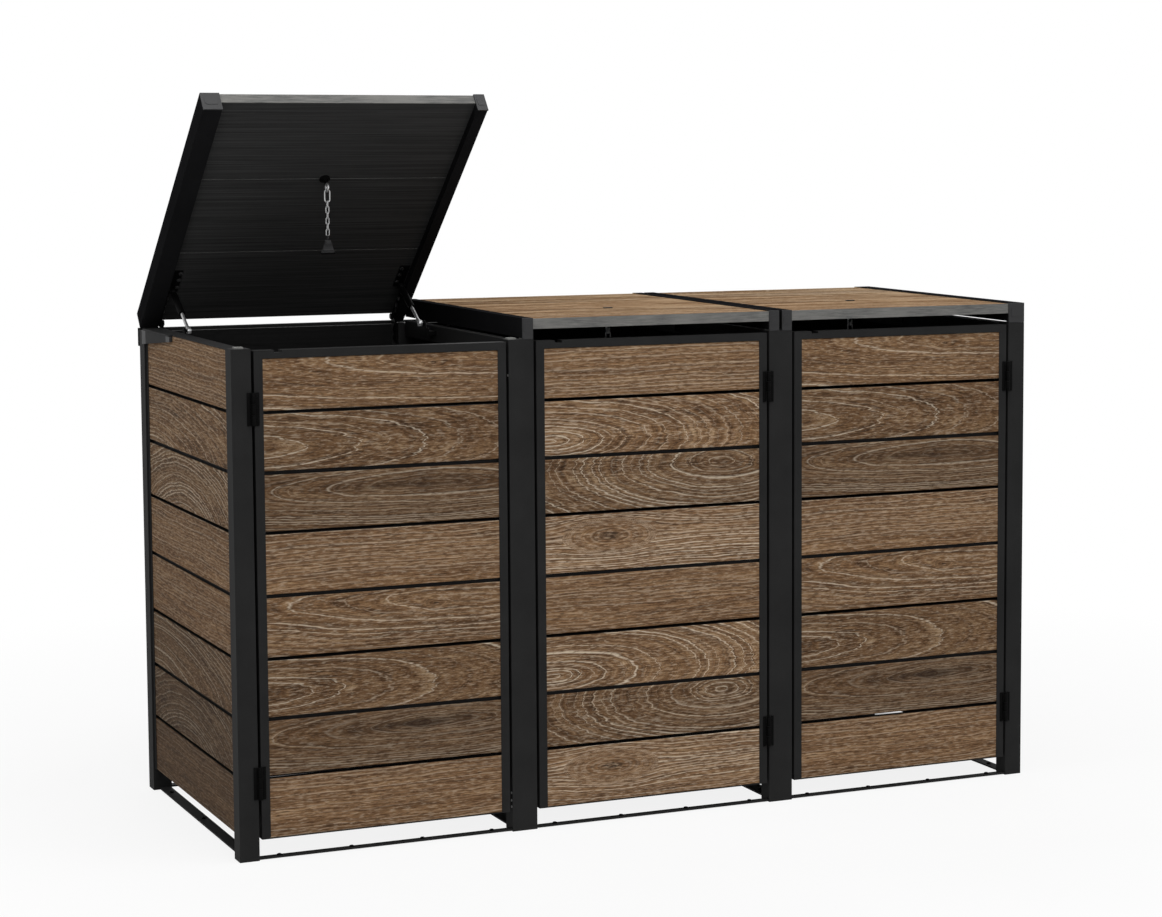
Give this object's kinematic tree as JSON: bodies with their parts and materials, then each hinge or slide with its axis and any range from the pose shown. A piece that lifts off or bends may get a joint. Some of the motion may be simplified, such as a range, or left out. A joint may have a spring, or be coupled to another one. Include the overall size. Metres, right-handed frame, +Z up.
{
  "type": "wheelie bin store",
  "caption": "Garden store for wheeled bins with slatted panels, side-hinged doors and plank lids that lift on gas struts over each bay.",
  "frame": {"origin": "on the ground below the centre of the overall box", "axes": "+X along the front to the right as seen from the front, +Y from the doors to the back, +Z up"},
  "size_m": [2.0316, 0.8634, 1.7129],
  "materials": {
    "frame_metal": "matt powder coat",
    "rail_metal": "matt powder coat",
    "edge_band": "satin",
    "wood": "oiled",
    "black_metal": "satin",
    "bright_metal": "zinc plated",
    "black_plastic": "moulded",
    "grey_rubber": "matt"
  },
  "bodies": {
    "frame": {"front_posts": "frame_metal", "back_posts": "frame_metal", "post_plugs": "black_plastic", "lid_pads": "grey_rubber", "top_rails": "rail_metal", "low_rails": "frame_metal", "sills": "rail_metal", "back_crossbar": "frame_metal", "left_planks": "wood", "right_planks": "wood", "side_channels": "frame_metal", "back_planks": "wood", "back_channels": "frame_metal", "gussets": "rail_metal", "gusset_ends": "black_plastic", "lid_ears": "black_metal", "strut_feet": "black_metal", "door_hinges": "black_metal", "door_stops": "rail_metal", "door_catches": "black_plastic"},
    "door_1": {"door_1_frame": "rail_metal", "door_1_planks": "wood", "door_1_leaves": "black_metal"},
    "door_2": {"door_2_frame": "rail_metal", "door_2_planks": "wood", "door_2_leaves": "black_metal"},
    "door_3": {"door_3_frame": "rail_metal", "door_3_planks": "wood", "door_3_leaves": "black_metal"},
    "lid_1": {"lid_1_rails": "rail_metal", "lid_1_caps": "black_plastic", "lid_1_boards": "wood", "lid_1_band": "edge_band", "lid_1_fittings": "black_metal", "lid_1_eye": "black_metal"},
    "lid_1_tubes": {"lid_1_strut_tubes": "black_metal"},
    "lid_1_rods": {"lid_1_strut_rods": "bright_metal"},
    "lid_1_chain": {"lid_1_chain": "bright_metal"},
    "lid_1_clip": {"lid_1_clip": "black_plastic"},
    "lid_2": {"lid_2_rails": "rail_metal", "lid_2_caps": "black_plastic", "lid_2_boards": "wood", "lid_2_band": "edge_band", "lid_2_fittings": "black_metal", "lid_2_eye": "black_metal"},
    "lid_2_tubes": {"lid_2_strut_tubes": "black_metal"},
    "lid_2_rods": {"lid_2_strut_rods": "bright_metal"},
    "lid_2_chain": {"lid_2_chain": "bright_metal"},
    "lid_2_clip": {"lid_2_clip": "black_plastic"},
    "lid_3": {"lid_3_rails": "rail_metal", "lid_3_caps": "black_plastic", "lid_3_boards": "wood", "lid_3_band": "edge_band", "lid_3_fittings": "black_metal", "lid_3_eye": "black_metal"},
    "lid_3_tubes": {"lid_3_strut_tubes": "black_metal"},
    "lid_3_rods": {"lid_3_strut_rods": "bright_metal"},
    "lid_3_chain": {"lid_3_chain": "bright_metal"},
    "lid_3_clip": {"lid_3_clip": "black_plastic"}
  },
  "joints": [
    {"name": "door_1_swing", "type": "hinge", "parent": "frame", "child": "door_1", "pos_m": [-0.9645, -0.42668, 0.6], "axis": [0, 0, -1], "range_deg": [0, 120]},
    {"name": "door_2_swing", "type": "hinge", "parent": "frame", "child": "door_2", "pos_m": [0.299, -0.42668, 0.6], "axis": [0, 0, 1], "range_deg": [0, 120]},
    {"name": "door_3_swing", "type": "hinge", "parent": "frame", "child": "door_3", "pos_m": [0.9645, -0.42668, 0.6], "axis": [0, 0, 1], "range_deg": [0, 120]},
    {"name": "lid_1_swing", "type": "hinge", "parent": "frame", "child": "lid_1", "pos_m": [-0.6655, 0.39332, 1.157], "axis": [-1, 0, 0], "range_deg": [-40, 0]},
    {"name": "lid_1_strut_turn", "type": "hinge", "parent": "lid_1", "child": "lid_1_tubes", "pos_m": [-0.6655, 0.30192, 1.23865], "axis": [-1, 0, 0], "range_deg": [0, 67.05]},
    {"name": "lid_1_strut_slide", "type": "slide", "parent": "lid_1_tubes", "child": "lid_1_rods", "axis": [0, -0.8588, -0.5123], "range_m": [-0.05474, 0]},
    {"name": "lid_1_chain_hang", "type": "hinge", "parent": "lid_1", "child": "lid_1_chain", "pos_m": [-0.6655, -0.02563, 1.49392], "axis": [-1, 0, 0], "range_deg": [0, 40]},
    {"name": "lid_1_clip_swing", "type": "hinge", "parent": "lid_1_chain", "child": "lid_1_clip", "pos_m": [-0.6655, -0.02563, 1.38807], "axis": [1, 0, 0], "range_deg": [-60, 60]},
    {"name": "lid_2_swing", "type": "hinge", "parent": "frame", "child": "lid_2", "pos_m": [0, 0.39332, 1.157], "axis": [-1, 0, 0], "range_deg": [0, 40]},
    {"name": "lid_2_strut_turn", "type": "hinge", "parent": "lid_2", "child": "lid_2_tubes", "pos_m": [0, 0.27082, 1.1608], "axis": [-1, 0, 0], "range_deg": [-67.05, 0]},
    {"name": "lid_2_strut_slide", "type": "slide", "parent": "lid_2_tubes", "child": "lid_2_rods", "axis": [0, -0.9976, -0.0692], "range_m": [0, 0.05474]},
    {"name": "lid_2_chain_hang", "type": "hinge", "parent": "lid_2", "child": "lid_2_chain", "pos_m": [0, -0.14418, 1.1458], "axis": [-1, 0, 0], "range_deg": [-40, 0]},
    {"name": "lid_2_clip_swing", "type": "hinge", "parent": "lid_2_chain", "child": "lid_2_clip", "pos_m": [0, -0.14418, 1.03995], "axis": [1, 0, 0], "range_deg": [-60, 60]},
    {"name": "lid_3_swing", "type": "hinge", "parent": "frame", "child": "lid_3", "pos_m": [0.6655, 0.39332, 1.157], "axis": [-1, 0, 0], "range_deg": [0, 40]},
    {"name": "lid_3_strut_turn", "type": "hinge", "parent": "lid_3", "child": "lid_3_tubes", "pos_m": [0.6655, 0.27082, 1.1608], "axis": [-1, 0, 0], "range_deg": [-67.05, 0]},
    {"name": "lid_3_strut_slide", "type": "slide", "parent": "lid_3_tubes", "child": "lid_3_rods", "axis": [0, -0.9976, -0.0692], "range_m": [0, 0.05474]},
    {"name": "lid_3_chain_hang", "type": "hinge", "parent": "lid_3", "child": "lid_3_chain", "pos_m": [0.6655, -0.14418, 1.1458], "axis": [-1, 0, 0], "range_deg": [-40, 0]},
    {"name": "lid_3_clip_swing", "type": "hinge", "parent": "lid_3_chain", "child": "lid_3_clip", "pos_m": [0.6655, -0.14418, 1.03995], "axis": [1, 0, 0], "range_deg": [-60, 60]}
  ],
  "couplings": [
    {"joint": "lid_1_strut_turn", "follows": "lid_1_swing", "ratio": -1.6712},
    {"joint": "lid_1_strut_slide", "follows": "lid_1_swing", "m_per_rad": 0.077974},
    {"joint": "lid_1_chain_hang", "follows": "lid_1_swing", "ratio": -1},
    {"joint": "lid_2_strut_turn", "follows": "lid_2_swing", "ratio": -1.6712},
    {"joint": "lid_2_strut_slide", "follows": "lid_2_swing", "m_per_rad": 0.077974},
    {"joint": "lid_2_chain_hang", "follows": "lid_2_swing", "ratio": -1},
    {"joint": "lid_3_strut_turn", "follows": "lid_3_swing", "ratio": -1.6712},
    {"joint": "lid_3_strut_slide", "follows": "lid_3_swing", "m_per_rad": 0.077974},
    {"joint": "lid_3_chain_hang", "follows": "lid_3_swing", "ratio": -1}
  ]
}
